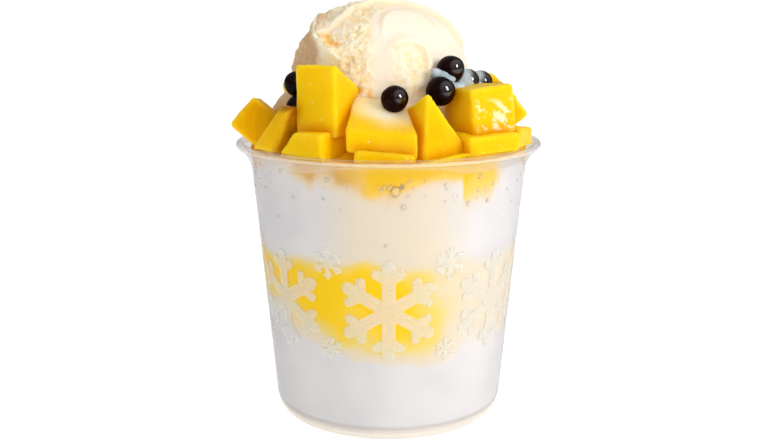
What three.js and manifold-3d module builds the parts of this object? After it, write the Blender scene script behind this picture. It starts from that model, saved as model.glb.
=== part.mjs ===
// Mango shaved ice in a clear plastic cup: a thin blow-moulded cup with a flared, beaded lip, filled with
// shaved ice that has a band of mango sauce through its middle, and heaped with mango chunks, tapioca
// pearls and one scoop of mango ice cream. Millimetres, +Z up, origin on the table under the cup's axis.
import * as THREE from "three";
import { RoundedBoxGeometry } from "three/addons/geometries/RoundedBoxGeometry.js";
import { ImprovedNoise } from "three/addons/math/ImprovedNoise.js";
import { mergeVertices } from "three/addons/utils/BufferGeometryUtils.js";
import Module from "manifold-3d";

const wasm = await Module();
wasm.setup();

// Driving dimensions of the cup.
const RIM_RADIUS = 53.5;
const CUP_HEIGHT = 97.6;
const WALL = 0.8;
const BASE_RADIUS = 37.5;
const FOOT_WIDTH = 2.4; // flat ring that the cup stands on
const RECESS = 2.5; // the floor is pushed up this far inside the foot ring
const FLOOR = RECESS + WALL; // height of the floor's upper side
const HEEL_RADIUS = 40.6; // where the straight wall begins
const HEEL_HEIGHT = 5.7;
const NECK_RADIUS = 48.0; // where the straight wall ends and the lip flares out
const NECK_HEIGHT = 87.4;
const BEAD_RADIUS = 1.2;

// Driving dimensions of the filling.
const GAP = 0.35; // between touching pieces
const SAUCE_LOW = 34; // mean height of the sauce band's lower side
const SAUCE_HIGH = 63;
const ICE_EDGE = 95; // height of the ice at the wall
const ICE_CROWN = 101; // height of the ice under the scoop
const SCOOP_CENTRE = new THREE.Vector3(-3.5, 3, 117.6);
const SCOOP_RADIUS = 30;
const SCOOP_SEAT = 97.5; // height of the scoop's flat underside
const EDGE = 0.8; // radius of a mango chunk's edges
const AROUND = 40; // segments round the cup

const noise = new ImprovedNoise();
const degrees = THREE.MathUtils.degToRad;

// Solids, joins and cuts.

function solidOf(geometry) {
  const bare = geometry.index ? geometry.toNonIndexed() : geometry.clone();
  bare.deleteAttribute("normal");
  bare.deleteAttribute("uv");
  const merged = mergeVertices(bare, 1e-4);
  return new wasm.Manifold(
    new wasm.Mesh({
      numProp: 3,
      vertProperties: merged.attributes.position.array,
      triVerts: new Uint32Array(merged.index.array),
    }),
  );
}

function geometryOf(solid) {
  const mesh = solid.getMesh();
  const geometry = new THREE.BufferGeometry();
  geometry.setAttribute("position", new THREE.BufferAttribute(mesh.vertProperties, mesh.numProp));
  geometry.setIndex(new THREE.BufferAttribute(mesh.triVerts, 1));
  geometry.computeVertexNormals();
  return geometry;
}

// What is left of a solid once the others are cut out, without any loose scrap.
function cutBy(solid, cutters) {
  const left = cutters.reduce((kept, cutter) => kept.subtract(cutter), solid);
  return left.decompose().reduce((a, b) => (a.volume() > b.volume() ? a : b));
}

// Moves every vertex of a geometry by a function of its place.
function warped(geometry, move) {
  const place = geometry.attributes.position;
  const point = new THREE.Vector3();
  for (let i = 0; i < place.count; i++) {
    point.fromBufferAttribute(place, i);
    move(point);
    place.setXYZ(i, point.x, point.y, point.z);
  }
  return geometry;
}

// Turned shapes stand on +Z.
function turned(points) {
  return new THREE.LatheGeometry(points, AROUND).rotateX(Math.PI / 2);
}

// Cup.

const point = (radius, height) => new THREE.Vector2(radius, height);

function cupGeometry() {
  const beadCentre = point(RIM_RADIUS - BEAD_RADIUS, CUP_HEIGHT - BEAD_RADIUS);
  const beadStart = degrees(-105);
  const beadEnd = degrees(195);
  const onBead = (angle) =>
    point(
      beadCentre.x + BEAD_RADIUS * Math.cos(angle),
      beadCentre.y + BEAD_RADIUS * Math.sin(angle),
    );
  const lipOut = onBead(beadStart);
  const lipIn = onBead(beadEnd);
  const profile = new THREE.Path();
  profile.moveTo(0, RECESS);
  profile.lineTo(BASE_RADIUS - FOOT_WIDTH - 1.2, RECESS);
  profile.lineTo(BASE_RADIUS - FOOT_WIDTH, 0);
  profile.lineTo(BASE_RADIUS, 0);
  profile.quadraticCurveTo(HEEL_RADIUS - 0.6, 1.2, HEEL_RADIUS, HEEL_HEIGHT);
  profile.lineTo(NECK_RADIUS, NECK_HEIGHT);
  profile.quadraticCurveTo(NECK_RADIUS + 0.6, NECK_HEIGHT + 4.6, lipOut.x, lipOut.y);
  profile.absarc(beadCentre.x, beadCentre.y, BEAD_RADIUS, beadStart, beadEnd, false);
  profile.quadraticCurveTo(NECK_RADIUS - 0.4, NECK_HEIGHT + 5.4, NECK_RADIUS - WALL, NECK_HEIGHT + 0.6);
  profile.lineTo(HEEL_RADIUS - WALL, HEEL_HEIGHT + 0.4);
  profile.lineTo(HEEL_RADIUS - WALL - 1.4, FLOOR);
  profile.lineTo(0, FLOOR);
  return turned(profile.getPoints(3));
}

// Radius of the straight wall's inner side at a height.
function innerRadius(height) {
  const share = (height - HEEL_HEIGHT) / (NECK_HEIGHT - HEEL_HEIGHT);
  return THREE.MathUtils.lerp(HEEL_RADIUS, NECK_RADIUS, share) - WALL;
}

// Everything that a piece may fill: the cup's inside up to the lip, and all round above it.
function roomGeometry() {
  const lipRadius = RIM_RADIUS - 2 * BEAD_RADIUS - GAP;
  const beadTop = CUP_HEIGHT + GAP;
  return turned([
    point(0, FLOOR + GAP),
    point(HEEL_RADIUS - WALL - 1.7 - GAP, FLOOR + GAP),
    point(innerRadius(HEEL_HEIGHT) - GAP, HEEL_HEIGHT + 0.4 + GAP),
    point(innerRadius(NECK_HEIGHT) - GAP, NECK_HEIGHT),
    point(innerRadius(NECK_HEIGHT) + 0.1, NECK_HEIGHT + 3.2),
    point(lipRadius - 1, CUP_HEIGHT - 2.6),
    point(lipRadius, CUP_HEIGHT - 1.2),
    point(lipRadius + 0.6, beadTop),
    point(RIM_RADIUS + 20, beadTop),
    point(RIM_RADIUS + 20, CUP_HEIGHT + 60),
    point(0, CUP_HEIGHT + 60),
  ]);
}

// Shaved ice and sauce.

// Everything under an uneven surface whose height is a function of x and y.
function under(heightAt, rings, lift) {
  const reach = NECK_RADIUS + 4;
  const steps = Array.from({ length: rings + 1 }, (_, i) => point(reach * (1 - i / rings), 1));
  const outline = [point(0, 0), point(reach, 0), ...steps];
  const rise = (p) => {
    if (p.z > 0.5) p.z = heightAt(p.x, p.y) + lift;
  };
  return solidOf(warped(turned(outline), rise));
}

// The sauce has run down further at the front than at the left.
function sauceLowAt(x, y) {
  const left = THREE.MathUtils.smoothstep(-x, 12, 40);
  return SAUCE_LOW + 12 * left + 1.8 * noise.noise(x / 14, y / 14, 2.5);
}

function sauceHighAt(x, y) {
  return SAUCE_HIGH + 3.2 * noise.noise(x / 17, y / 17, 7.5);
}

// The heap's top, with clumps of ice standing up in it.
function iceTopAt(x, y) {
  const inwards = 1 - THREE.MathUtils.smoothstep(Math.hypot(x, y), 20, 47);
  const clumps = 2.2 * noise.noise(x / 8, y / 8, 4.2);
  return THREE.MathUtils.lerp(ICE_EDGE, ICE_CROWN, inwards) + clumps * (0.35 + inwards);
}

// Ice cream.

// A bell-shaped rise of width one about zero.
const bell = (t) => Math.exp(-t * t);

// The scoop's radius in a direction. The disher leaves a smooth side on the right with a lip swept over
// it, and tears the left side, which stands out along an edge that runs down from the crown.
function scoopReach(n) {
  const crown = -2.4 * Math.max(0, n.z) ** 3;
  const edgeAt = -0.6 + 0.1 * n.z;
  const edge = 1.6 * bell((n.x - edgeAt) / 0.1) * THREE.MathUtils.smoothstep(n.z, -0.2, 0.5);
  const sweep = n.z - 0.76 + 0.25 * n.x + 0.3 * n.x * n.x;
  const lip = 0.9 * Math.tanh(sweep / 0.035) * bell((n.x - 0.1) / 0.75) * bell((n.y + 0.6) / 0.6);
  const foot = 1.6 * bell((n.z + 0.3) / 0.18);
  const melt = 6.4 * bell((n.z + 0.27) / 0.16) * THREE.MathUtils.smoothstep(-n.x, 0.6, 0.95);
  const torn = THREE.MathUtils.smoothstep(-n.x, -0.15, 0.25);
  const crumb =
    1.1 * noise.noise(n.x * 5 + 3, n.y * 5, n.z * 5) + 0.8 * noise.noise(n.x * 11, n.y * 11 + 5, n.z * 11);
  return SCOOP_RADIUS + crown + edge + lip + foot + melt + crumb * (0.25 + torn);
}

function scoopGeometry(grow) {
  const ball = new THREE.SphereGeometry(1, 30, 16).rotateX(Math.PI / 2);
  return warped(ball, (p) => {
    p.multiplyScalar(scoopReach(p.clone().normalize()) + grow).add(SCOOP_CENTRE);
    p.z = Math.max(p.z, SCOOP_SEAT - grow);
  });
}

// Mango chunks.

// A chunk cut by hand: a box with soft edges whose top may be narrower, shifted or sloped, and whose back may
// be narrower and shifted sideways. The room that it takes up in other pieces has sharp edges.
function chunkGeometry(chunk, grow) {
  const [width, depth, height] = chunk.size;
  const [topWidth, topDepth] = chunk.top ?? [1, 1];
  const [leanX, leanY] = chunk.lean ?? [0, 0];
  const [slopeX, slopeY] = chunk.slope ?? [0, 0];
  const [backWidth, backShift] = chunk.back ?? [1, 0];
  const sides = chunk.size.map((side) => side + 2 * grow);
  const box = grow ? new THREE.BoxGeometry(...sides) : new RoundedBoxGeometry(...sides, 1, EDGE);
  const seed = chunk.at[0];
  warped(box, (p) => {
    const k = p.z / height + 0.5;
    const across = (2 * p.x) / width;
    const back = (2 * p.y) / depth;
    const wobble = 0.5 * noise.noise(p.x / 16 + seed, p.y / 16, p.z / 16);
    p.z += k * (slopeX * across + slopeY * back) + wobble;
    p.x = p.x * (1 + ((backWidth - 1) * (back + 1)) / 2) + (backShift * (back + 1)) / 2;
    p.x = p.x * (1 + (topWidth - 1) * k) + leanX * k + wobble;
    p.y = p.y * (1 + (topDepth - 1) * k) + leanY * k - wobble;
  });
  const [pitch, roll, yaw] = (chunk.turn ?? [0, 0, 0]).map(degrees);
  const turn = new THREE.Matrix4().makeRotationFromEuler(new THREE.Euler(pitch, roll, yaw, "ZYX"));
  return box.applyMatrix4(turn).translate(...chunk.at);
}

// size is width, depth and height, at is the chunk's centre, and turn is its pitch, roll and yaw.
const FRONT_CHUNKS = [
  { size: [15, 13.6, 19.2], at: [-19.9, -29.4, 112.3], turn: [0, 0, -30], slope: [0, -3.8] },
  {
    size: [22.6, 15.2, 11.8],
    at: [-1.2, -36, 103.8],
    turn: [0, 6, 0],
    slope: [0.4, 4.9],
    back: [0.7, -2],
    lean: [-1, 0],
  },
  {
    size: [18, 15, 19.5],
    at: [16.6, -32.6, 104],
    turn: [0, 0, 24],
    top: [0.08, 1],
    lean: [-7.9, 0],
    slope: [0, -3.2],
  },
  { size: [17, 15.4, 15.8], at: [30.2, -22.3, 109.9], turn: [-3, -4, 33] },
  {
    size: [25, 15, 17],
    at: [-27.1, -30.4, 95.7],
    turn: [0, 0, -33],
    top: [0.44, 1],
    lean: [6.4, 0],
    slope: [0.2, 0],
  },
  {
    size: [10, 14, 17],
    at: [-34.2, -24.5, 103.6],
    turn: [-12, 12, -42],
    top: [0.4, 0.9],
    lean: [4.6, -1],
  },
  { size: [12, 13, 12.4], at: [-44.7, -9, 104.2], turn: [-9, 40, -8] },
  { size: [20, 14, 12], at: [30.4, -30, 97.2], turn: [0, 0, 34] },
  { size: [12, 12, 11], at: [40.2, -17, 98], turn: [0, 4, 62] },
  { size: [13.6, 14, 13.6], at: [38.2, -2, 108.1], turn: [0, 53, 5] },
  { size: [14, 13, 13], at: [36, 12, 110.5], turn: [0, 40, 15] },
  { size: [13, 7, 12], at: [-8, -22.4, 110.8], turn: [0, 16, 0] },
  { size: [19, 11, 12.6], at: [-1.6, -40.4, 92.6], turn: [0, 5, 0] },
  { size: [20, 11, 8.6], at: [15.6, -39.6, 92.5], turn: [0, -8, 20] },
  { size: [13, 8, 16], at: [29.8, -33.6, 87.4], turn: [0, 0, 40] },
];

// Round the back the chunks follow the wall in two rows.
function backChunks() {
  const random = (spread) => THREE.MathUtils.seededRandom() * spread - spread / 2;
  THREE.MathUtils.seededRandom(11);
  const rows = [
    { angles: [38, 63, 88, 114, 139, 164, 187], out: 38, height: 99.5 },
    { angles: [60, 92, 122, 149], out: 34, height: 112 },
  ];
  return rows.flatMap(({ angles, out, height }) =>
    angles.map((angle) => {
      const reach = out + random(2.5);
      const turn = degrees(angle);
      return {
        size: [15 + random(4), 13 + random(3), 13 + random(3)],
        at: [reach * Math.cos(turn), reach * Math.sin(turn), height + random(3)],
        turn: [random(40), random(50), angle + random(50)],
        top: [0.9 + random(0.2), 0.9 + random(0.2)],
      };
    }),
  );
}

// Tapioca pearls: centre and radius.
const PEARLS = [
  { at: [20.4, -21.5, 123.2], radius: 4.6 },
  { at: [16.8, -28, 116.6], radius: 4.8 },
  { at: [1.9, -33, 114.6], radius: 4.4 },
  { at: [26.8, -9.3, 118.4], radius: 4.2 },
  { at: [32, -0.5, 117.1], radius: 4.3 },
  { at: [-30.6, -16, 118], radius: 4.3 },
  { at: [-29.8, -20, 110.4], radius: 4.4 },
  { at: [23, 22, 122.5], radius: 4.5 },
  { at: [15, 31, 121], radius: 4.4 },
  { at: [-26, 25, 120.5], radius: 4.6 },
];

const pearlGeometry = ({ at, radius }, grow) =>
  new THREE.IcosahedronGeometry(radius + grow, 2).translate(...at);

// Assembly.

const plastic = new THREE.MeshStandardMaterial({
  color: 0xf4f4f2,
  roughness: 0.15,
  transparent: true,
  opacity: 0.3,
});
const ice = new THREE.MeshStandardMaterial({ color: 0xf3f0ee, roughness: 0.7 });
const sauce = new THREE.MeshStandardMaterial({ color: 0xf8c93c, roughness: 0.5 });
const iceCream = new THREE.MeshStandardMaterial({ color: 0xfdeccb, roughness: 0.6 });
const mango = new THREE.MeshStandardMaterial({ color: 0xf9b90a, roughness: 0.3 });
const pearl = new THREE.MeshStandardMaterial({ color: 0x1c0706, roughness: 0.1 });

const dessert = new THREE.Group();

function add(name, geometry, material) {
  const mesh = new THREE.Mesh(geometry, material);
  mesh.name = name;
  dessert.add(mesh);
}

const cup = solidOf(cupGeometry());
add("cup", geometryOf(cup), plastic);

const placed = []; // the room that each piece takes, with its gap

PEARLS.forEach((spec, i) => {
  add(`tapioca_pearl_${i + 1}`, pearlGeometry(spec, 0), pearl);
  placed.push(solidOf(pearlGeometry(spec, GAP)));
});

const room = solidOf(roomGeometry());
[...FRONT_CHUNKS, ...backChunks()].forEach((chunk, i) => {
  const whole = solidOf(chunkGeometry(chunk, 0)).intersect(room);
  add(`mango_chunk_${i + 1}`, geometryOf(cutBy(whole, placed)), mango);
  placed.push(solidOf(chunkGeometry(chunk, GAP)));
});

const scoop = cutBy(solidOf(scoopGeometry(0)), placed);
add("ice_cream_scoop", geometryOf(scoop), iceCream);
placed.push(solidOf(scoopGeometry(GAP)));

const lower = under(sauceLowAt, 4, -GAP / 2).intersect(room);
add("ice_lower", geometryOf(lower), ice);
const band = under(sauceHighAt, 4, -GAP / 2).intersect(room);
add("mango_sauce_band", geometryOf(cutBy(band, [under(sauceLowAt, 4, GAP / 2)])), sauce);
const heap = under(iceTopAt, 5, 0).intersect(room);
add("ice_upper", geometryOf(cutBy(heap, [under(sauceHighAt, 4, GAP / 2), ...placed])), ice);

export default dessert;
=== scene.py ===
"""Mango shaved ice in a clear plastic cup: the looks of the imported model, piece by piece."""

from math import cos, pi, radians, sin

import bmesh
import bpy
import numpy as np
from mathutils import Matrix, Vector, noise
from mathutils.bvhtree import BVHTree
from mathutils.geometry import delaunay_2d_cdt


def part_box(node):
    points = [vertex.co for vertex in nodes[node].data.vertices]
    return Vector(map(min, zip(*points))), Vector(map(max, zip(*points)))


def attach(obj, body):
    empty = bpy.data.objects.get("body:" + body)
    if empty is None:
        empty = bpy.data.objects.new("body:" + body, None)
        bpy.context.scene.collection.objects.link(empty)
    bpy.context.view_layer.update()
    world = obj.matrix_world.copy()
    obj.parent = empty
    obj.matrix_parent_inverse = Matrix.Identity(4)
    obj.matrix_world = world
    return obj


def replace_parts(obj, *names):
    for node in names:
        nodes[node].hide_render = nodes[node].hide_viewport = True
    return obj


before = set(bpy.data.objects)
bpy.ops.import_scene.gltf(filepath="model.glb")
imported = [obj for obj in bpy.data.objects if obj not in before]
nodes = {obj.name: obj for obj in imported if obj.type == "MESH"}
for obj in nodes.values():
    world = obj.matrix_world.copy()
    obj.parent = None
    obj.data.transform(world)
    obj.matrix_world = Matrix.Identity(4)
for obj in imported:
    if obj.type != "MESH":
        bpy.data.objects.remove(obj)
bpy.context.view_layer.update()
MM = 0.001


# Camera. It stands a little above the lip in front of the cup and looks down at it by twelve degrees, so
# that the lip is seen as a flat ellipse.
scene = bpy.context.scene
scene.view_settings.view_transform = "Standard"
CAMERA_PLACE = Vector((-1.2, -373.5, 147.4)) * MM
CAMERA_TILT = radians(12)
camera = bpy.data.objects.new("camera", bpy.data.cameras.new("camera"))
camera.data.lens = 49.65
camera.data.sensor_width = 36
camera.data.clip_start = 0.01
camera.location = CAMERA_PLACE
camera.rotation_euler = (pi / 2 - CAMERA_TILT, 0, 0)
scene.collection.objects.link(camera)
scene.camera = camera


# Studio. A small bright light on the right gives the marks in the pearls, and a weak one on the left gives
# their second marks. A wide light on the right and one in front soften the shade and don't show in a gloss.
def soft_light(name, place, width, height, power, colour=(1, 1, 1)):
    """A rectangular light that is turned to the middle of the dessert."""
    lamp = bpy.data.lights.new(name, "AREA")
    lamp.shape = "RECTANGLE"
    lamp.size = width
    lamp.size_y = height
    lamp.energy = power
    lamp.color = colour
    light = bpy.data.objects.new(name, lamp)
    light.location = place
    aim = LIT_POINT - light.location
    light.rotation_euler = aim.to_track_quat("-Z", "Y").to_euler()
    scene.collection.objects.link(light)
    return light


LIT_POINT = Vector((0, 0, 0.1))
WARM_WHITE = (1, 0.985, 0.96)
soft_light("key_light", (0.58, -0.42, 0.42), 0.15, 0.27, 2.4, WARM_WHITE)
wide_light = soft_light("wide_light", (0.6, -0.44, 0.5), 0.8, 0.7, 0.9, WARM_WHITE)
wide_light.visible_glossy = False
front_light = soft_light("front_light", (0.0, -0.8, 0.2), 0.8, 0.5, 1.0)
front_light.visible_glossy = False
soft_light("left_light", (-0.36, -0.52, 0.42), 0.035, 0.05, 0.15)


# Shaders are written as sums of sockets. A wire is one output of a node, and what is done to it adds the
# nodes that do it.
class Wire:
    def __init__(self, tree, socket):
        self.tree = tree
        self.socket = socket

    def node(self, kind, settings=None, inputs=None, output=0):
        """Adds a node, gives it its settings and then its sockets, and returns one of its outputs."""
        node = self.tree.nodes.new("ShaderNode" + kind)
        for setting, value in (settings or {}).items():
            setattr(node, setting, value)
        for socket, value in (inputs or {}).items():
            if isinstance(value, Wire):
                self.tree.links.new(value.socket, node.inputs[socket])
            else:
                node.inputs[socket].default_value = value
        return None if output is None else Wire(self.tree, node.outputs[output])

    def math(self, operation, *values):
        return self.node("Math", {"operation": operation}, dict(enumerate(values)))

    def __add__(self, other):
        return self.math("ADD", self, other)

    def __sub__(self, other):
        return self.math("SUBTRACT", self, other)

    def __rsub__(self, other):
        return self.math("SUBTRACT", other, self)

    def __mul__(self, other):
        return self.math("MULTIPLY", self, other)

    def __pow__(self, other):
        return self.math("POWER", self, other)

    __radd__ = __add__
    __rmul__ = __mul__

    def rise(self, start, end):
        """Zero up to start, one from end on, and smooth between them."""
        ends = {"Value": self, "From Min": start, "From Max": end}
        return self.node("MapRange", {"interpolation_type": "SMOOTHSTEP"}, ends)

    def blend(self, none, full):
        """The colour none where this is zero, and the colour full where it is one."""
        colours = {0: self, 6: none, 7: full}  # sockets 6 and 7 are the node's two colours
        return self.node("Mix", {"data_type": "RGBA"}, colours, 2)

    def grain(self, per_metre, detail=2.0, roughness=0.5, stretch=(1, 1, 1)):
        """Noise about a half, of so many lumps to the metre, on this place."""
        place = self.node("VectorMath", {"operation": "MULTIPLY"}, {0: self, 1: stretch})
        inputs = {"Vector": place, "Scale": per_metre, "Detail": detail, "Roughness": roughness}
        return self.node("TexNoise", {}, inputs)

    def relief(self, depth, strength=1.0):
        """A normal from this height, which is in units of depth metres."""
        return self.node("Bump", {}, {"Height": self, "Distance": depth, "Strength": strength})

    def attribute(self, name):
        """A value that is stored at each point of the mesh."""
        return self.node("Attribute", {"attribute_name": name}, {}, 2)

    def surface(self, shader):
        """Makes this shader the material's surface."""
        self.node("OutputMaterial", {}, {"Surface": shader}, None)


def new_finish(name):
    """A material, and the place on the surface in metres."""
    material = bpy.data.materials.new(name)
    material.use_nodes = True
    material.node_tree.nodes.clear()
    start = Wire(material.node_tree, None)
    return material, start.node("TexCoord", {}, {}, "Object")


def paint(code):
    """A colour from its six hexadecimal digits."""
    shares = [int(code[i : i + 2], 16) / 255 for i in (0, 2, 4)]
    return (*[s / 12.92 if s <= 0.04045 else ((s + 0.055) / 1.055) ** 2.4 for s in shares], 1)


# Sky. Even white light from all round, as from the walls of a white tent, that grows stronger overhead. It
# fills the shade between the chunks and shows in the wet edges.
SKY_LOW = (0.24, 0.24, 0.24, 1)
SKY_HIGH = (0.8, 0.8, 0.8, 1)
world = bpy.data.worlds.new("studio")
world.use_nodes = True
sky = world.node_tree.nodes["Background"]
overhead = Wire(world.node_tree, None).node("TexCoord", {}, {}, "Generated")
overhead = overhead.node("SeparateXYZ", {}, {"Vector": overhead}, 2).rise(0.05, 1.0)
world.node_tree.links.new(overhead.blend(SKY_LOW, SKY_HIGH).socket, sky.inputs["Color"])
scene.world = world


# Floor. A plain white table top of painted board, so wide and lit so evenly that it has no horizon. The cup
# stands on it, and the board lies a hair below the foot so that the two never share a plane.
FLOOR_REACH = 40.0
FLOOR_HEIGHT = -0.0001
floor_mesh = bpy.data.meshes.new("floor")
floor_sides = ((-1, -1), (1, -1), (1, 1), (-1, 1))
floor_corners = [(x * FLOOR_REACH, y * FLOOR_REACH, FLOOR_HEIGHT) for x, y in floor_sides]
floor_mesh.from_pydata(floor_corners, [], [(0, 1, 2, 3)])
floor = bpy.data.objects.new("floor", floor_mesh)
scene.collection.objects.link(floor)
floor_finish, place = new_finish("white_table")
floor_shine = {"Base Color": (0.25, 0.25, 0.25, 1), "Roughness": 0.9, "Emission Color": (1, 1, 1, 1)}
place.surface(place.node("BsdfPrincipled", {}, {**floor_shine, "Emission Strength": 0.93}))
floor_mesh.materials.append(floor_finish)


# Cup. A thin tapered cup of clear polypropylene, drawn hot from one sheet. Its neck flares into a lip that is
# rolled over into a bead, and its base is pushed up inside a narrow foot ring.
def new_piece(name, points, faces, finish):
    """A smooth mesh piece that goes with the cup."""
    mesh = bpy.data.meshes.new(name)
    mesh.from_pydata([tuple(p) for p in points], [], faces)
    mesh.shade_smooth()
    mesh.set_sharp_from_angle(angle=radians(50))
    mesh.materials.append(finish)
    piece = bpy.data.objects.new(name, mesh)
    scene.collection.objects.link(piece)
    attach(piece, "root")
    return piece


def turned(profile, around):
    """Points and faces of a solid turned from radii and heights that start and end on the axis."""
    radii, heights = np.array(profile).T
    angles = np.linspace(0, 2 * pi, around, endpoint=False)
    rings = np.stack(
        [
            np.outer(radii[1:-1], np.sin(angles)),
            -np.outer(radii[1:-1], np.cos(angles)),
            np.repeat(heights[1:-1, None], around, 1),
        ],
        -1,
    )
    count = len(rings)
    points = [(0, 0, heights[0]), *rings.reshape(-1, 3), (0, 0, heights[-1])]
    faces = []
    for i in range(around):
        j = (i + 1) % around
        faces.append((0, 1 + j, 1 + i))
        for ring in range(count - 1):
            a, b = 1 + ring * around, 1 + (ring + 1) * around
            faces.append((a + i, a + j, b + j, b + i))
        last = 1 + (count - 1) * around
        faces.append((last + i, last + j, len(points) - 1))
    return np.array(points), faces


def bent(start, middle, end, steps=8):
    """Points of a curve from start towards middle and on to end, without its start."""
    shares = np.linspace(0, 1, steps + 1)[1:, None]
    start, middle, end = map(np.array, (start, middle, end))
    return [*((1 - shares) ** 2 * start + 2 * shares * (1 - shares) * middle + shares**2 * end)]


cup_low, cup_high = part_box("cup")
LIP = (cup_high.x - cup_low.x) / 2 / MM  # radius over the bead
CUP_HEIGHT = cup_high.z / MM
BEAD = 1.2  # radius of the bead
WALL = 0.8
FOOT = 37.5
FOOT_WIDTH = 2.4
RECESS = 2.5
HEEL, HEEL_HEIGHT = 40.6, 5.7
NECK, NECK_HEIGHT = 48.0, 87.4
bead_turn = np.radians(np.linspace(-105, 195, 25))
bead = [(LIP - BEAD + BEAD * cos(a), CUP_HEIGHT - BEAD + BEAD * sin(a)) for a in bead_turn]
FOOT_INSIDE = FOOT - FOOT_WIDTH
CUP_FLOOR = RECESS + WALL
recess_edge = (FOOT_INSIDE - 2.2, RECESS)
above_heel = (HEEL + 0.15, HEEL_HEIGHT + 0.5)
halfway = (NECK / 2 + HEEL / 2, NECK_HEIGHT / 2 + 3)
halfway_inside = (NECK / 2 + HEEL / 2 - WALL, NECK_HEIGHT / 2 + 3)
neck = (NECK, NECK_HEIGHT)
neck_inside = (NECK - WALL, NECK_HEIGHT + 0.6)
heel_inside = (HEEL - WALL, HEEL_HEIGHT + 0.4)
cup_profile = [
    (0, RECESS),
    recess_edge,
    *bent(recess_edge, (FOOT_INSIDE - 0.8, RECESS), (FOOT_INSIDE, 0.2), 4),
    (FOOT_INSIDE + 0.3, 0),
    (FOOT - 0.3, 0),
    *bent((FOOT, 0.1), (HEEL - 0.7, 1.3), (HEEL - 0.15, HEEL_HEIGHT - 0.2), 10),
    (HEEL, HEEL_HEIGHT),
    above_heel,
    *bent(above_heel, halfway, neck, 12),
    *bent(neck, (NECK + 0.6, NECK_HEIGHT + 4.6), bead[0], 10),
    *bead[1:],
    *bent(bead[-1], (NECK - 0.4, NECK_HEIGHT + 5.4), neck_inside, 10),
    *bent(neck_inside, halfway_inside, heel_inside, 12),
    *bent(heel_inside, (HEEL - WALL - 0.6, CUP_FLOOR), (HEEL - WALL - 3, CUP_FLOOR), 6),
    (0, CUP_FLOOR),
]
clear_plastic, place = new_finish("clear_polypropylene")
edge_on = place.node("LayerWeight", {}, {"Blend": 0.35}, "Facing")
flow_marks = place.grain(90, 2, 0.5, (1, 1, 0.25)).relief(0.0004, 0.25)
height = place.node("SeparateXYZ", {}, {"Vector": place}, 2)
in_heel = 1 - height.rise(0.0035, 0.0065)
# Painted highlight: a pale, less clear band round the bead, where the lamps would shine on the rolled lip.
bead_highlight = height.rise(0.0954, 0.0958) * (1 - height.rise(0.0964, 0.0968))
# Painted reflection: the body's grey shows only where the wall is seen edge on, as dark lines in place of the
# darker surroundings seen there.
plastic_body = place.node(
    "BsdfPrincipled",
    {},
    {
        "Base Color": (in_heel + bead_highlight).blend(paint("8c8280"), paint("f8ecdc")),
        "Roughness": 0.3,
        "Alpha": 0.012 + 0.65 * edge_on**3 + 0.5 * in_heel + 0.24 * bead_highlight,
        "Normal": flow_marks,
    },
)
plastic_gloss = place.node("BsdfAnisotropic", {}, {"Roughness": 0.22, "Normal": flow_marks})
shine = place.node("Fresnel", {}, {"IOR": 1.35, "Normal": flow_marks})
place.surface(place.node("MixShader", {}, {0: shine * 0.26, 1: plastic_body, 2: plastic_gloss}))
points, faces = turned(cup_profile, 160)
cup = new_piece("clear_cup", points * MM, faces, clear_plastic)
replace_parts(cup, "cup")


# Filling. Fine shaved ice is packed against the wall in two layers, with a layer between them that mango
# sauce has soaked. The three meet with no gap, and juice from the fruit on top stains the upper edge.
def inner_radius(height):
    """Radius of the wall's inside, in millimetres."""
    share = (height - HEEL_HEIGHT) / (NECK_HEIGHT - HEEL_HEIGHT)
    straight = HEEL + (NECK - HEEL) * share - WALL
    return np.where(height < HEEL_HEIGHT, straight - 1.5 * (1 - height / HEEL_HEIGHT) ** 1.5, straight)


def smooth_rise(value, start, end):
    """Zero up to start, one from end on, and smooth between them."""
    share = np.clip((value - start) / (end - start), 0, 1)
    return share * share * (3 - 2 * share)


def lumps(points, size, seed=0.0):
    """Noise from -1 to 1 at points, with lumps of that size."""
    shift = Vector((seed, seed * 1.7, -seed))
    return np.array([noise.noise(Vector(p) / size + shift) for p in points])


PRESSED = 0.5  # the ice reaches this far into the wall, so that no air shows
SAUCE_LOW = 34
SAUCE_HIGH = 63
ICE_EDGE = 95.5
ICE_CROWN = 101


def sauce_low_at(x, y):
    """Height of the sauce's lower edge: it has run down less far at the left."""
    return SAUCE_LOW + 12 * smooth_rise(-x, 12, 40)


STAIN_TOP = 96
FRUIT_STAINS = [  # turn from the front in degrees, reach down the wall from the top, and strength
    (-180, 9, 0.8),
    (-158, 13, 0.9),
    (-140, 7, 0.6),
    (-112, 10, 0.8),
    (-92, 6, 0.5),
    (-75, 9, 0.7),
    (-58, 9, 0.3),
    (-42, 11, 0.3),
    (-37, 12.5, 0.45),
    (-31.5, 14.5, 0.6),
    (-26, 12, 0.5),
    (-18, 13, 0.6),
    (-11, 14, 0.7),
    (-6, 17, 0.95),
    (2, 17, 0.95),
    (10, 12, 0.95),
    (20, 9, 0.9),
    (28.5, 9, 0.8),
    (30, 20, 0.95),
    (34, 20, 0.7),
    (46, 19, 0.62),
    (50, 15, 0.3),
    (55, 8, 0.2),
    (78, 8, 0.6),
    (98, 12, 0.9),
    (116, 6, 0.5),
    (140, 11, 0.8),
    (165, 6, 0.6),
    (180, 9, 0.8),
]


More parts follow.
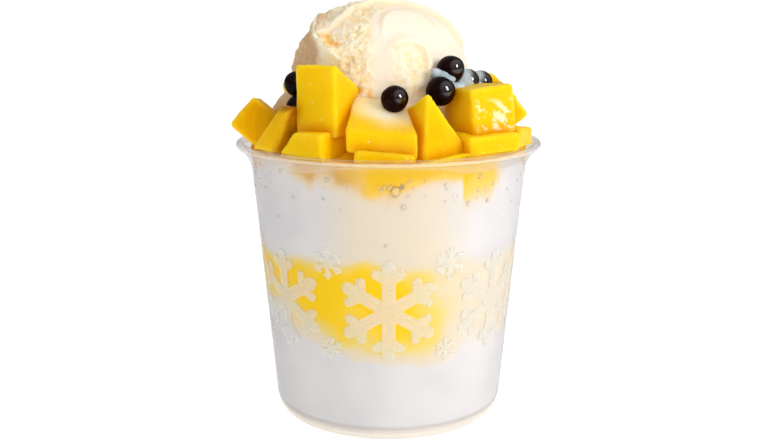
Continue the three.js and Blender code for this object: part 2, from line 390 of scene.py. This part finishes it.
def add_stains(piece):
    """Stores how much sauce and juice each point of the ice holds, and where the juice is dull."""
    points = np.array([v.co for v in piece.data.vertices]) / MM
    x, y, z = points.T
    wander = lumps(points, 16, 3) + 0.4 * lumps(points, 6, 8)
    low = sauce_low_at(x, y) + 4 * wander
    high = SAUCE_HIGH - 2 + 3.5 * lumps(points, 12, 5)
    band = smooth_rise(z, low - 9, low + 8) * (1 - smooth_rise(z, high - 4, high + 4))
    middle = 1 - 0.8 * smooth_rise(x, 0, 28) - 0.05 * smooth_rise(-x, 16, 40)
    patches = np.clip(0.85 + 0.4 * lumps(points, 11, 12), 0.4, 1)
    seeped = 0.14 * (1 - smooth_rise(abs(x - 2), 8, 42)) * smooth_rise(z, high - 4, high + 4)
    turn, down, strength = np.array(FRUIT_STAINS).T
    way_round = np.degrees(np.arctan2(x, -y)) + 2.5 * lumps(points, 5, 20)
    down = np.interp(way_round, turn, down) + 1.8 * lumps(points, 4.5, 24)
    strength = np.interp(way_round, turn, strength) * (1 + 0.2 * lumps(points, 6, 28))
    stain = strength * (1 - smooth_rise((STAIN_TOP - z) / down, 0.1, 1.15))
    stain = np.maximum(stain, 0.9 * smooth_rise(z, 94, 96))
    dull = smooth_rise(-x, 4, 16)
    for name, values in (("sauce", band * middle * patches + seeped), ("juice", stain), ("dull", dull)):
        piece.data.attributes.new(name, "FLOAT", "POINT").data.foreach_set("value", values)


shaved_ice, place = new_finish("shaved_ice")
cloudy = place.grain(60, 2, 0.5)
crumbs = place.grain(1400, 3, 0.6)
sauce = (place.attribute("sauce") * (0.85 + 0.3 * cloudy)).rise(0.0, 1.0)
juice = (place.attribute("juice") * (0.8 + 0.4 * cloudy)).rise(0.0, 1.0)
packed = cloudy.rise(0.3, 0.7).blend(paint("dedbdc"), paint("e6e3e2"))
weak = sauce.rise(0.0, 0.06).blend(packed, paint("eadcc6"))
soaked = sauce.rise(0.04, 0.5).blend(weak, paint("f2d878"))
yellowed = sauce.rise(0.4, 1.0).blend(soaked, paint("ffd200"))
tinged = juice.rise(0.0, 0.35).blend(yellowed, paint("ecd4b0"))
pale_juice = place.attribute("dull").blend(paint("f8ce60"), paint("e0b060"))
browned = juice.rise(0.2, 0.55).blend(tinged, pale_juice)
shaved = juice.rise(0.5, 1.0).blend(browned, paint("f6c414"))
place.surface(
    place.node(
        "BsdfPrincipled",
        {},
        {
            "Base Color": shaved,
            "Roughness": 0.6,
            "IOR": 1.31,
            "Specular IOR Level": 0.25,
            "Normal": (crumbs * 0.5 + cloudy).relief(0.0005, 0.35),
        },
    )
)


def ice_layer(name, low, high, node):
    """A layer of ice between two heights at the wall, which are functions of x and of y."""
    steps = np.linspace(0, 1, 30)
    inwards = np.linspace(0, 1, 12)[:-1]
    profile = [(0, 0), *[(r, 0) for r in inwards[1:]], *[(1, s) for s in steps]]
    profile += [(r, 1) for r in inwards[:0:-1]] + [(0, 1)]
    unit, faces = turned(profile, 200)
    share, level = np.hypot(unit[:, 0], unit[:, 1]), unit[:, 2]
    turn = np.arctan2(unit[:, 0], -unit[:, 1])
    radius = np.full(len(unit), 44.0)  # a first guess, which the rounds bring out to the wall
    for _ in range(5):
        x, y = radius * share * np.sin(turn), -radius * share * np.cos(turn)
        height = low(x, y) + level * (high(x, y) - low(x, y))
        radius = inner_radius(height) + PRESSED
    piece = new_piece(name, np.stack([x, y, height], -1) * MM, faces, shaved_ice)
    add_stains(piece)
    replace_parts(piece, node)


def cup_floor_at(x, y):
    return np.full_like(x, CUP_FLOOR - PRESSED)


def sauce_high_at(x, y):
    return np.full_like(x, SAUCE_HIGH)


def ice_top_at(x, y):
    """The ice rises in clumps from the wall towards the scoop."""
    spots = np.stack([x, y, 0 * x], -1)
    inwards = 1 - smooth_rise(np.hypot(x, y), 20, 46)
    clumps = 1.6 * lumps(spots, 8, 4) + 0.9 * lumps(spots, 3, 9)
    return ICE_EDGE + (ICE_CROWN - ICE_EDGE) * inwards + clumps * (0.25 + inwards)


ice_layer("packed_ice_lower", cup_floor_at, sauce_low_at, "ice_lower")
ice_layer("sauce_soaked_ice", sauce_low_at, sauce_high_at, "mango_sauce_band")
ice_layer("packed_ice_upper", sauce_high_at, ice_top_at, "ice_upper")


# Mango chunks. Ripe flesh cut by hand: blunt wet edges, faces that are a little uneven, and fine fibres
# that run along the fruit. They are pressed into the ice round the scoop, and lean on each other.
mango_flesh, place = new_finish("ripe_mango_flesh")
ripeness = place.attribute("ripeness")
fibres = place.grain(700, 3, 0.6, (1, 0.16, 0.3))
pulp = place.grain(200, 2, 0.5)
gloss_mask = place.grain(110, 2, 0.6).rise(0.48, 0.66)
flesh = (ripeness + 0.2 * (pulp - 0.5)).rise(0.0, 1.0).blend(paint("e8c004"), paint("e09e00"))
flesh = (fibres.rise(0.45, 0.75) * 0.3).blend(flesh, paint("f0c818"))
# Painted shade: darker orange where another chunk or a pearl lies close.
flesh = (place.attribute("contact_shade") * 0.6).blend(flesh, paint("e08e00"))
# Painted highlight: paler flesh along the convex edges.
flesh = (place.attribute("edge_highlight") * (0.2 + 0.7 * pulp)).blend(flesh, paint("f6cc34"))
# Painted glints: a few small pale dots, as tiny wet sparkles in the flesh.
DOTS_PER_METRE = 330.0
glint_dots = place.node("TexVoronoi", {}, {"Vector": place, "Scale": DOTS_PER_METRE})
chosen = place.node("TexVoronoi", {}, {"Vector": place, "Scale": DOTS_PER_METRE}, 1)
chosen = chosen.node("SeparateXYZ", {}, {"Vector": chosen}).rise(0.7, 0.8)
flesh = ((1 - glint_dots.rise(0.08, 0.17)) * chosen * 0.4).blend(flesh, paint("fff0b8"))
flesh = place.attribute("shade").blend(flesh, paint("a04400"))
# Milk on one chunk, and on the glossy chunk pale streaks that are a painted sheen.
flesh = place.attribute("milk_and_sheen").blend(flesh, paint("fff2d8"))
# Syrup from the pearls, and on one chunk a painted shadow in the same dark brown.
flesh = place.attribute("syrup_and_shadow").blend(flesh, paint("6e3002"))
place.surface(
    place.node(
        "BsdfPrincipled",
        {},
        {
            "Base Color": flesh,
            "Roughness": 0.3 + 0.2 * pulp,
            "Subsurface Weight": 0.8,
            "Subsurface Radius": (1, 0.8, 0.1),
            "Subsurface Scale": 0.008,
            "IOR": 1.38,
            "Specular Tint": (1, 0.8, 0.08, 1),
            # A faint orange glow painted into the flesh, as light that has come through it.
            "Emission Color": (1, 0.45, 0.0, 1),
            "Emission Strength": 0.08,
            "Coat Weight": 0.4 * gloss_mask,
            "Coat Roughness": 0.08,
            "Coat IOR": 1.33,
            "Normal": (fibres * 0.5 + pulp).relief(0.0004, 0.6),
        },
    )
)


def remade(name, source, cell, passes):
    """A copy of a CAD node's shape in even small faces, with its edges blunted by so many passes."""
    copy = bpy.data.objects.new(name, source.data.copy())
    scene.collection.objects.link(copy)
    even = copy.modifiers.new("even", "REMESH")
    even.mode = "VOXEL"
    even.voxel_size = cell
    soft = copy.modifiers.new("soft", "SMOOTH")
    soft.factor = 0.6
    soft.iterations = passes
    shape = bpy.data.meshes.new_from_object(copy.evaluated_get(bpy.context.evaluated_depsgraph_get()))
    bpy.data.objects.remove(copy)
    shape.name = name
    return shape


def lay_piece(name, shape, finish):
    """A finished mesh as a piece that goes with the cup."""
    shape.materials.clear()
    shape.materials.append(finish)
    shape.shade_smooth()
    piece = bpy.data.objects.new(name, shape)
    scene.collection.objects.link(piece)
    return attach(piece, "root")


def push_out(shape, depths):
    """Moves each point of a mesh along its normal, in millimetres."""
    points = np.array([v.co for v in shape.vertices])
    normals = np.array([v.normal for v in shape.vertices])
    shape.vertices.foreach_set("co", (points + normals * depths[:, None] * MM).ravel())
    shape.update()


ICE_OVER_FRUIT = 0.25


def keep_inside(shape):
    """Draws the points of a mesh in from the cup's wall, so that the ice can close over them."""
    points = np.array([v.co for v in shape.vertices])
    room = (inner_radius(points[:, 2] / MM) - ICE_OVER_FRUIT) * MM
    reach = np.hypot(points[:, 0], points[:, 1])
    held = (reach > room) & (points[:, 2] < CUP_HEIGHT * MM)
    points[held, :2] *= (room / reach)[held, None]
    shape.vertices.foreach_set("co", points.ravel())
    shape.update()


MILKY_CHUNK = "mango_chunk_2"
LIT_MILK_POOL = (-0.5, -33, 110.5)
GLOSSY_CHUNK = "mango_chunk_4"
SHADOWED_SYRUPY_CHUNK = "mango_chunk_6"
SYRUPY_PEARLS = ("tapioca_pearl_6", "tapioca_pearl_7")
PEARL_RADIUS = 4.5
RIPENESS = {"mango_chunk_1": 0.05, "mango_chunk_5": 0.2, "mango_chunk_6": 0.3, "mango_chunk_7": 0.55}
USUAL_RIPENESS = 0.15
CUT_EDGES = 3  # passes that blunt the edges of a fresh chunk
WORN_EDGES = {f"mango_chunk_{n}": passes for n, passes in ((5, 7), (8, 7), (13, 12), (14, 12), (15, 12))}
SHEEN_STREAKS = np.array([[0.39, 0, 0.65], [0, 0.6, 0], [-0.22, 0, 1.13]])  # they run down to the right


def convex_edge_share(shape, points, normals, spread):
    """How strongly each point of a mesh lies on a convex edge, spread out by so many passes."""
    ends = np.empty(len(shape.edges) * 2, int)
    shape.edges.foreach_get("vertices", ends)
    a, b = ends.reshape(-1, 2).T
    along = points[b] - points[a]
    bend = np.sum((normals[b] - normals[a]) * along, axis=1) / np.sum(along * along, axis=1)
    counts = np.bincount(ends, minlength=len(points))
    convexity = (np.bincount(a, bend, len(points)) + np.bincount(b, bend, len(points))) / counts
    for _ in range(spread):
        convexity = (np.bincount(a, convexity[b], len(points)) + np.bincount(b, convexity[a], len(points))) / counts
    return smooth_rise(convexity, 0.12, 0.42)


FAR = 5


def reach_to_others(name, shape):
    """Distance in millimetres from each point of a mesh to the nearest other chunk or pearl."""
    others = bmesh.new()
    for other, node in nodes.items():
        if other != name and other.startswith(("mango_chunk", "tapioca_pearl")):
            others.from_mesh(node.data)
    tree = BVHTree.FromBMesh(others)
    others.free()
    reach = [tree.find_nearest(v.co, FAR * MM)[3] for v in shape.vertices]
    return np.array([FAR * MM if r is None else r for r in reach]) / MM


def add_toppings(shape, name):
    """Stores ripeness, milk and syrup on a chunk, and its painted shade, shadow, highlights, sheen and light.
    """
    points = np.array([v.co for v in shape.vertices]) / MM
    normals = np.array([v.normal for v in shape.vertices])
    share = (points - points.min(0)) / np.ptp(points, 0)
    ripeness = RIPENESS.get(name, USUAL_RIPENESS) + 0.35 * lumps(points, 10, 8)
    # Painted shade where another chunk or a pearl lies close; it gives way where milk lies.
    contact_shade = 1 - smooth_rise(reach_to_others(name, shape) + 0.8 * lumps(points, 4, 15), 0.6, 4.2)
    # Painted highlight along the convex edges.
    edge_highlight = convex_edge_share(shape, points, normals, 4) * (0.6 + 0.4 * lumps(points, 5, 16))
    milk_and_sheen = 0 * ripeness
    if name == MILKY_CHUNK:
        # Milk on the top face. Round the pool it is paler: partly thicker milk, partly painted light where
        # the pearl and the scoop shade the top.
        slant = points @ (0, 0.21, 0.98) + 0.41 * np.minimum(points[:, 0], -1) + 0.6 * lumps(points, 5, 2)
        lit_pool = np.exp(-((np.linalg.norm(points - LIT_MILK_POOL, axis=1) / 8) ** 2))
        milk_and_sheen = smooth_rise(slant, 93, 99) * (0.3 + 0.65 * lit_pool)
    # On the glossy chunk the pale streaks across its front are a painted sheen, where the wet flesh would
    # shine.
    if name == GLOSSY_CHUNK:
        streaks = lumps(points @ SHEEN_STREAKS, 2.2, 7) + 0.5 * lumps(points, 0.8, 3)
        face = smooth_rise(-normals[:, 1], 0.5, 0.8) * smooth_rise(normals[:, 0], 0.2, 0.5)
        height = smooth_rise(share[:, 2], 0.15, 0.25) * (1 - smooth_rise(share[:, 2], 0.6, 0.8))
        milk_and_sheen = 0.75 * smooth_rise(streaks, 0.0, 0.25) * face * height
    syrup_and_shadow = 0 * ripeness
    for pearl in SYRUPY_PEARLS:
        low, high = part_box(pearl)
        reach = np.linalg.norm(points - np.array((low + high) / 2) / MM, axis=1) - PEARL_RADIUS
        syrup_and_shadow = np.maximum(syrup_and_shadow, np.exp(-((np.clip(reach, 0, None) / 6) ** 1.5)))
    # On this chunk the right side is painted dark brown as the shadow of the chunk beside it; its top is
    # syrup from the pearls.
    if name == SHADOWED_SYRUPY_CHUNK:
        into_shadow = points[:, 0] + 33.6 + 0.4 * (108.1 - points[:, 2]) + 0.5 * lumps(points, 4, 3)
        syrup_and_shadow = np.maximum(syrup_and_shadow, smooth_rise(into_shadow, -1.5, 2.5) * (0.8 + 0.3 * share[:, 2]))
        syrup_and_shadow = np.maximum(syrup_and_shadow, 1.1 * smooth_rise(share[:, 2], 0.82, 0.98))
    syrup_and_shadow *= np.clip(0.85 + 0.3 * lumps(points, 4, 6), 0, 1)
    contact_shade *= 1 - milk_and_sheen
    shade = 0 * ripeness
    if name == GLOSSY_CHUNK:
        left_face = smooth_rise(-normals[:, 1] - normals[:, 0], 0.6, 1.1)
        shade = 0.7 * left_face * (1 - smooth_rise(share[:, 0], 0.0, 0.2))
    kinds = {"ripeness": ripeness, "milk_and_sheen": milk_and_sheen, "syrup_and_shadow": syrup_and_shadow, "contact_shade": contact_shade, "edge_highlight": edge_highlight, "shade": shade}
    for kind, values in kinds.items():
        shape.attributes.new(kind, "FLOAT", "POINT").data.foreach_set("value", values)


CHUNK_CELL = 0.5 * MM
for name, node in sorted(nodes.items()):
    if name.startswith("mango_chunk"):
        shape = remade("cut_" + name, node, CHUNK_CELL, WORN_EDGES.get(name, CUT_EDGES))
        points = np.array([v.co for v in shape.vertices]) / MM
        dents = 0.35 * lumps(points, 7, 1) + 0.08 * lumps(points, 1.6, 2)
        push_out(shape, dents + 0.3)
        keep_inside(shape)
        add_toppings(shape, name)
        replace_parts(lay_piece("cut_" + name, shape, mango_flesh), name)


# Ice cream. One ball from a round scoop, set on the ice: wiped smooth on the right, where a thin lip of it is
# swept over the crown, torn and crumbly on the left, and melting at the foot.
SCOOP_PLACE = np.array([-3.5, 3, 117.6])
SCOOP_RADIUS = 30
SCOOP_SEAT = 96.5
ball = bmesh.new()
bmesh.ops.create_icosphere(ball, subdivisions=7, radius=1)
ball_faces = [[v.index for v in f.verts] for f in ball.faces]
way = np.array([v.co for v in ball.verts])
ball.free()
way /= np.linalg.norm(way, axis=1)[:, None]
# Where each point of the ball lies from in front, along the camera's tilt: to the right, up, and nearer.
across = way[:, 0]
up = way[:, 1] * sin(CAMERA_TILT) + way[:, 2] * cos(CAMERA_TILT)
front = -way[:, 1] * cos(CAMERA_TILT) + way[:, 2] * sin(CAMERA_TILT)


def distance_to(course):
    """Distance of each point of the ball's front from a course across it, and the side that it is on."""
    here = np.stack([across, up], -1)
    best, side = np.full(len(here), 9.0), np.zeros(len(here))
    for start, end in zip(course[:-1], course[1:]):
        start, along = np.array(start), np.array(end) - np.array(start)
        share = np.clip((here - start) @ along / (along @ along), 0, 1)
        off = here - start - share[:, None] * along
        reach = np.hypot(*off.T)
        nearer = reach < best
        best[nearer] = reach[nearer]
        side[nearer] = np.sign(along[0] * off[:, 1] - along[1] * off[:, 0])[nearer]
    return best, side


def fold(course, height, left, right):
    """A lip along a course, and how far it spreads to the left and to the right of the way along it."""
    reach, side = distance_to(course)
    width = np.where(side > 0, left, right)
    return height * np.exp(-((reach / width) ** 2)) * smooth_rise(front, 0, 0.3)


CROWN_SWEEP = [(-0.6, 0.4), (-0.47, 0.55), (-0.28, 0.76), (-0.04, 0.86), (0.25, 0.865), (0.53, 0.785)]
CROWN_SWEEP += [(0.75, 0.62), (0.9, 0.4)]
INNER_SWEEP = [(0.06, 0.52), (0.09, 0.61), (0.17, 0.69), (0.31, 0.72), (0.46, 0.685), (0.57, 0.55)]
LOWER_FOLD = [(0.2, 0.25), (0.27, 0.29), (0.39, 0.3), (0.5, 0.25), (0.53, 0.12), (0.53, -0.02)]
LEFT_RIDGE = [(-0.6, 0.84), (-0.67, 0.76), (-0.665, 0.61), (-0.65, 0.46), (-0.57, 0.27), (-0.48, 0.19)]
SMOOTH_ROLL = [(0.03, 0.55), (0.05, 0.39), (0.06, 0.21), (0.05, 0.0), (0.06, -0.2)]
FOLDS = [  # course, height, and spread to the left and to the right of the way along it
    (CROWN_SWEEP, 1.7, 0.09, 0.02),
    (INNER_SWEEP, 0.8, 0.05, 0.13),
    (LOWER_FOLD, 1.5, 0.08, 0.022),
    (LEFT_RIDGE, 2.2, 0.06, 0.1),
    (SMOOTH_ROLL, 0.4, 0.2, 0.2),
]
FLAT_CROWN = 2.2
MELTED_SPOTS = [(-0.55, 0.38), (-0.53, 0.31), (-0.46, 0.29), (-0.3, -0.2), (-0.2, -0.24), (-0.09, -0.27)]
spots = way * SCOOP_RADIUS
torn = smooth_rise(-across + 0.1 * lumps(spots, 9, 6) + 0.12 * up, -0.1, 0.06)
rough_patch = np.exp(-(((across - 0.31) / 0.22) ** 4) - ((up + 0.01) / 0.25) ** 4) * (front > 0)
torn = np.maximum(torn, 0.8 * rough_patch)
torn = np.where(front > 0, torn, np.maximum(torn, smooth_rise(lumps(spots, 16, 2), 0.0, 0.3)))
torn *= smooth_rise(distance_to(SMOOTH_ROLL)[0], 0.02, 0.24)
torn *= 0.3 + 0.7 * smooth_rise(distance_to(CROWN_SWEEP)[0], 0.02, 0.07)
shaded = smooth_rise(-across + 0.1 * (up - 0.5), 0.56, 0.68) * (0.5 + 0.5 * smooth_rise(front, -0.3, 0.3))
# Painted highlight: a paler cream along one side of the left ridge.
reach, side = distance_to(LEFT_RIDGE)
ridge = np.exp(-((reach / 0.055) ** 2)) * (side < 0) * (front > 0)
crumb = 0.6 * lumps(spots, 5.0, 1) + 0.75 * lumps(spots, 2.1, 2) + 0.6 * lumps(spots, 1.0, 3)
right_side = np.exp(-(((across - 0.95) / 0.3) ** 2)) * smooth_rise(up, -0.4, 0.1)
skirt = np.exp(-(((way[:, 2] + 0.3) / 0.18) ** 2))
melted_foot = np.exp(-(((way[:, 2] + 0.27) / 0.16) ** 2)) * smooth_rise(-across, 0.6, 0.95)
reach_out = SCOOP_RADIUS - FLAT_CROWN * np.clip(way[:, 2], 0, 1) ** 3
for course, height, left, right in FOLDS:
    reach_out += fold(course, height, left, right)
for height, where in ((1.3, rough_patch), (1.8, right_side), (1.6, skirt), (6.4, melted_foot)):
    reach_out += height * where
reach_out = reach_out + crumb * (0.05 + 0.95 * torn) + 0.5 * lumps(spots, 14, 7)
pits = torn * smooth_rise(-crumb, -0.1, 0.4)
# Painted shade: a darker cream in the hollow beside each fold.
crease_shade = np.zeros(len(way))
for course, hollow_side in ((CROWN_SWEEP, -1), (INNER_SWEEP, 1), (LOWER_FOLD, -1)):
    reach, side = distance_to(course)
    crease_shade += np.exp(-(((reach - 0.03) / 0.022) ** 2)) * (side == hollow_side) * (front > 0)
melted = sum(np.exp(-(np.hypot(across - x, up - z) / 0.035) ** 2) for x, z in MELTED_SPOTS) * (front > 0)
scoop_points = way * reach_out[:, None] + SCOOP_PLACE
scoop_points[:, 2] = np.maximum(scoop_points[:, 2], SCOOP_SEAT)

ice_cream, place = new_finish("mango_ice_cream")
rough = place.attribute("torn")
air = place.grain(1500, 3, 0.6)
swirl = place.grain(110, 2, 0.5)
grains = place.grain(900, 2, 0.6)
cream = swirl.rise(0.3, 0.7).blend(paint("f5e6d2"), paint("faead9"))
cream = (rough * 0.5).blend(cream, paint("ffecc8"))
cream = (place.attribute("pits") * 0.6).blend(cream, paint("fad684"))
cream = (rough * grains.rise(0.5, 0.68) * 0.6).blend(cream, paint("fbd67c"))
cream = (rough * air.rise(0.45, 0.7) * 0.5).blend(cream, paint("fffaf0"))
# Painted shade in the hollows beside the folds.
cream = (place.attribute("crease_shade") * 0.4).blend(cream, paint("eccf96"))
cream = (place.attribute("shaded") * (0.7 + 0.4 * grains)).blend(cream, paint("c69c6c"))
# Painted highlight on the left ridge.
cream = place.attribute("ridge").blend(cream, paint("fffae6"))
cream = place.attribute("melted").blend(cream, paint("eeb02c"))
place.surface(
    place.node(
        "BsdfPrincipled",
        {},
        {
            "Base Color": cream,
            "Roughness": 0.42 + 0.2 * rough,
            "Subsurface Weight": 0.6,
            "Subsurface Radius": (1, 0.75, 0.4),
            "Subsurface Scale": 0.003,
            "IOR": 1.35,
            # A faint warm glow painted into the cream, as light that has come through it.
            "Emission Color": (1, 0.86, 0.62, 1),
            "Emission Strength": 0.05,
            "Normal": ((air + grains) * (0.1 + 0.9 * rough)).relief(0.0006, 0.7),
        },
    )
)
scoop = new_piece("ice_cream_ball", scoop_points * MM, ball_faces, ice_cream)
marks = {"torn": torn, "pits": pits, "melted": melted, "shaded": shaded, "crease_shade": crease_shade, "ridge": ridge}
for name, values in marks.items():
    scoop.data.attributes.new(name, "FLOAT", "POINT").data.foreach_set("value", values)
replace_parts(scoop, "ice_cream_scoop")


# Tapioca pearls. Cooked in brown sugar, nearly black, wet and a little out of round. Coconut milk has run
# over some of them and clings to one side.
MILK_SIDES = {"tapioca_pearl_4": (-0.85, -0.35, 0.3), "tapioca_pearl_5": (-0.95, -0.25, 0.3)}
KEY_GLOSS_SIDE = Vector((0.44, -0.85, 0.3))
tapioca, place = new_finish("cooked_tapioca")
skin = place.grain(260, 2, 0.5)
sugar = skin.rise(0.3, 0.7).blend(paint("0c0000"), paint("1c0402"))
place.surface(
    place.node(
        "BsdfPrincipled",
        {},
        {
            "Base Color": place.attribute("milk_and_sheen").blend(sugar, paint("c0ccd0")),
            "Roughness": 0.3,
            "IOR": 1.33,
            "Specular IOR Level": 0.05,
            "Coat Weight": 0.04 + 0.96 * place.attribute("gloss_mask"),
            "Coat Roughness": 0.04,
            "Coat IOR": 1.75,
            "Normal": skin.relief(0.0002, 0.3),
        },
    )
)
for name in sorted(nodes):
    if name.startswith("tapioca_pearl"):
        low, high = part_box(name)
        centre, radius = np.array((low + high) / 2), (high.x - low.x) / 2
        pearl = bmesh.new()
        bmesh.ops.create_icosphere(pearl, subdivisions=5, radius=1)
        faces = [[v.index for v in f.verts] for f in pearl.faces]
        way = np.array([v.co for v in pearl.verts])
        pearl.free()
        swell = 1.03 + 0.05 * lumps(way, 0.9, centre[0] * 1000)
        points = centre + way * radius * swell[:, None]
        piece = new_piece("cooked_" + name, points, faces, tapioca)
        film = np.zeros(len(way))
        if name in MILK_SIDES:
            facing = way @ Vector(MILK_SIDES[name]).normalized() + 0.15 * lumps(way, 0.5, 3)
            film = np.minimum(smooth_rise(facing, -0.1, 0.6), 0.92)
        # Painted sheen: the coat lies only on the side turned to the key light, so the pearls shine just
        # where that lamp's mark falls.
        gloss_mask = smooth_rise(way @ KEY_GLOSS_SIDE, 0.82, 0.93)
        for kind, values in (("milk_and_sheen", film), ("gloss_mask", gloss_mask)):
            piece.data.attributes.new(kind, "FLOAT", "POINT").data.foreach_set("value", values)
        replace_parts(piece, name)


# Coconut milk. It was spooned over the heap last and has run down between the pearls on the right, where it
# lies in the gaps as a thick bluish film. It is thin where it leaves the ice cream.
MILK_DROPS = [  # middle and radii of the drops that have run together
    ((14.9, -24.0, 122.3), (2.8, 2.4, 1.6)),
    ((17.2, -24.4, 121.5), (3.2, 2.6, 1.7)),
    ((19.4, -24.8, 120.3), (2.6, 2.6, 1.5)),
    ((24.6, -17.5, 118.9), (3.2, 3.0, 4.3)),
    ((25.0, -13.0, 117.0), (4.2, 4.5, 3.0)),
    ((29.8, -9.2, 116.4), (2.8, 3.0, 2.2)),
    ((21.5, -21.5, 117.2), (4.0, 3.4, 2.2)),
]
milk_drops = bmesh.new()
for drop_place, drop_radii in MILK_DROPS:
    drop = bmesh.ops.create_icosphere(milk_drops, subdivisions=4, radius=1)["verts"]
    for v in drop:
        v.co = Vector([p + c * r for p, c, r in zip(drop_place, v.co, drop_radii)]) * MM
milk_mesh = bpy.data.meshes.new("milk_drops")
milk_drops.to_mesh(milk_mesh)
milk_drops.free()
milk_source = bpy.data.objects.new("milk_drops", milk_mesh)
milk_shape = remade("coconut_milk", milk_source, 0.3 * MM, 10)
bpy.data.objects.remove(milk_source)
coconut_milk, place = new_finish("coconut_milk")
thin = place.grain(160, 2, 0.5)
across = place.node("SeparateXYZ", {}, {"Vector": place}, 0)
place.surface(
    place.node(
        "BsdfPrincipled",
        {},
        {
            "Base Color": thin.rise(0.3, 0.7).blend(paint("a9bac2"), paint("d2dfe4")),
            "Alpha": 0.1 + 0.85 * across.rise(0.0125, 0.0165),
            "Roughness": 0.12,
            "IOR": 1.34,
        },
    )
)
lay_piece("coconut_milk", milk_shape, coconut_milk)


# Condensation. Water from the air has settled as drops on the cold wall, most of them just under the lip, and
# a few in front have run together. They are flat against the plastic and hang a little low.
DROP_COUNT = 170
DROPS_TOP = NECK_HEIGHT + 4
DROPS_REACH = 22
LARGEST_DROP = 0.9
drops = [  # turn from the front, height and radius
    (0.045, 87.2, 1.5),
    (0.01, 88.4, 0.8),
    (-0.03, 88.6, 0.6),
    (0.09, 88.9, 0.7),
    (-0.42, 90.4, 0.7),
]
rng = np.random.default_rng(5)
for _ in range(DROP_COUNT):
    turn, down, size = rng.uniform(0, 2 * pi), rng.exponential(5), rng.lognormal(-1.15, 0.45)
    drops.append((turn, DROPS_TOP - min(down, DROPS_REACH), min(size, LARGEST_DROP)))
dew = bmesh.new()
for turn, height, size in drops:
    reach = inner_radius(np.array(height)) + WALL
    middle = Vector((reach * sin(turn), -reach * cos(turn), height))
    outwards = Vector((sin(turn), -cos(turn), 0))
    drop = bmesh.ops.create_icosphere(dew, subdivisions=3, radius=1)["verts"]
    for v in drop:
        flat = v.co - v.co.dot(outwards) * outwards * 0.55
        flat.z *= 1.15
        v.co = (middle + flat * size) * MM
dew_mesh = bpy.data.meshes.new("condensation")
dew.to_mesh(dew_mesh)
dew.free()
water, place = new_finish("water_drops")
water_gloss = place.node("BsdfAnisotropic", {}, {"Roughness": 0.04})
water_look = {"Base Color": paint("ffffff"), "Alpha": 0.1, "Roughness": 0.05}
water_body = place.node("BsdfPrincipled", {}, water_look)
water_shine = place.node("Fresnel", {}, {"IOR": 1.33})
place.surface(place.node("MixShader", {}, {0: water_shine, 1: water_body, 2: water_gloss}))
lay_piece("condensation", dew_mesh, water)


# Print. Six-armed ice crystals of three sizes run round the cup, in one thin coat of translucent white ink
# that was rolled on to the outside of the wall.
INK_TURN = 44.3  # radius at which the pattern's widths are true
INK_HEIGHT = 47
INK_BAND = (INK_HEIGHT - 18, INK_HEIGHT + 22)
INK_GRID = 1.5  # spacing of the points that let the coat follow the wall
CRYSTALS = 7
CRYSTAL_ROWS = [  # share of a pitch along, height over the middle, reach, width of an arm, length of a twig
    (0, 0, 17.4, 4.4, 4.6),
    (0.5, 15.5, 5.6, 1.5, 1.3),
    (0.5, -14, 4.2, 1.2, 1.0),
]
INK = 0.06


def stroke(start, end, width):
    """Outline of a straight stroke with round ends."""
    start, end = Vector(start), Vector(end)
    along = (end - start).normalized() * width / 2
    steps = np.linspace(-pi / 2, pi / 2, 9)
    cap = [Vector((along.x * cos(a) - along.y * sin(a), along.x * sin(a) + along.y * cos(a))) for a in steps]
    return [end + c for c in cap] + [start - c for c in cap]


def crystal(middle, reach, width, twig):
    """Strokes of a six-armed ice crystal: on each arm a pair of twigs, which leave the arms at 60 degrees."""
    middle = Vector(middle)
    for arm in range(6):
        turn = radians(30 + 60 * arm)
        way = Vector((cos(turn), sin(turn)))
        yield stroke(middle, middle + way * (reach - width / 2), width)
        for lean in (-1, 1):
            aside = Vector((cos(turn + lean * pi / 3), sin(turn + lean * pi / 3)))
            root = middle + way * reach * 0.6
            yield stroke(root, root + aside * twig, width * 0.75)


shapes = []
pitch = 2 * pi * INK_TURN / CRYSTALS
for i in range(CRYSTALS):
    for along, over, reach, width, twig in CRYSTAL_ROWS:
        shapes += crystal(((i + along) * pitch, INK_HEIGHT + over), reach, width, twig)
flat_points = [p for shape in shapes for p in shape]
starts = np.cumsum([0] + [len(shape) for shape in shapes])
outlines = [list(range(a, b)) for a, b in zip(starts[:-1], starts[1:])]
for u in np.arange(-pitch / 2, pitch * (CRYSTALS - 0.4), INK_GRID):
    flat_points += [Vector((u, v)) for v in np.arange(*INK_BAND, INK_GRID)]
filled = delaunay_2d_cdt(flat_points, [], outlines, 1, 1e-5)
ink_points = []
for u, v in filled[0]:
    turn, reach = u / INK_TURN, float(inner_radius(np.array(v))) + WALL + INK
    ink_points.append(Vector((reach * sin(turn), -reach * cos(turn), v)) * MM)
used = sorted({i for face in filled[2] for i in face})
order = {old: new for new, old in enumerate(used)}
ink_faces = [[order[i] for i in face] for face in filled[2]]
white_ink, place = new_finish("white_ink")
coat = place.grain(500, 2, 0.5)
ink_look = {"Base Color": paint("fffdf2"), "Roughness": 0.5, "Alpha": 0.23 + 0.08 * coat}
place.surface(place.node("BsdfPrincipled", {}, ink_look))
ink = new_piece("ice_crystal_print", [ink_points[i] for i in used], ink_faces, white_ink)
coat_depth = ink.modifiers.new("coat", "SOLIDIFY")
coat_depth.thickness = INK * MM
coat_depth.offset = -1
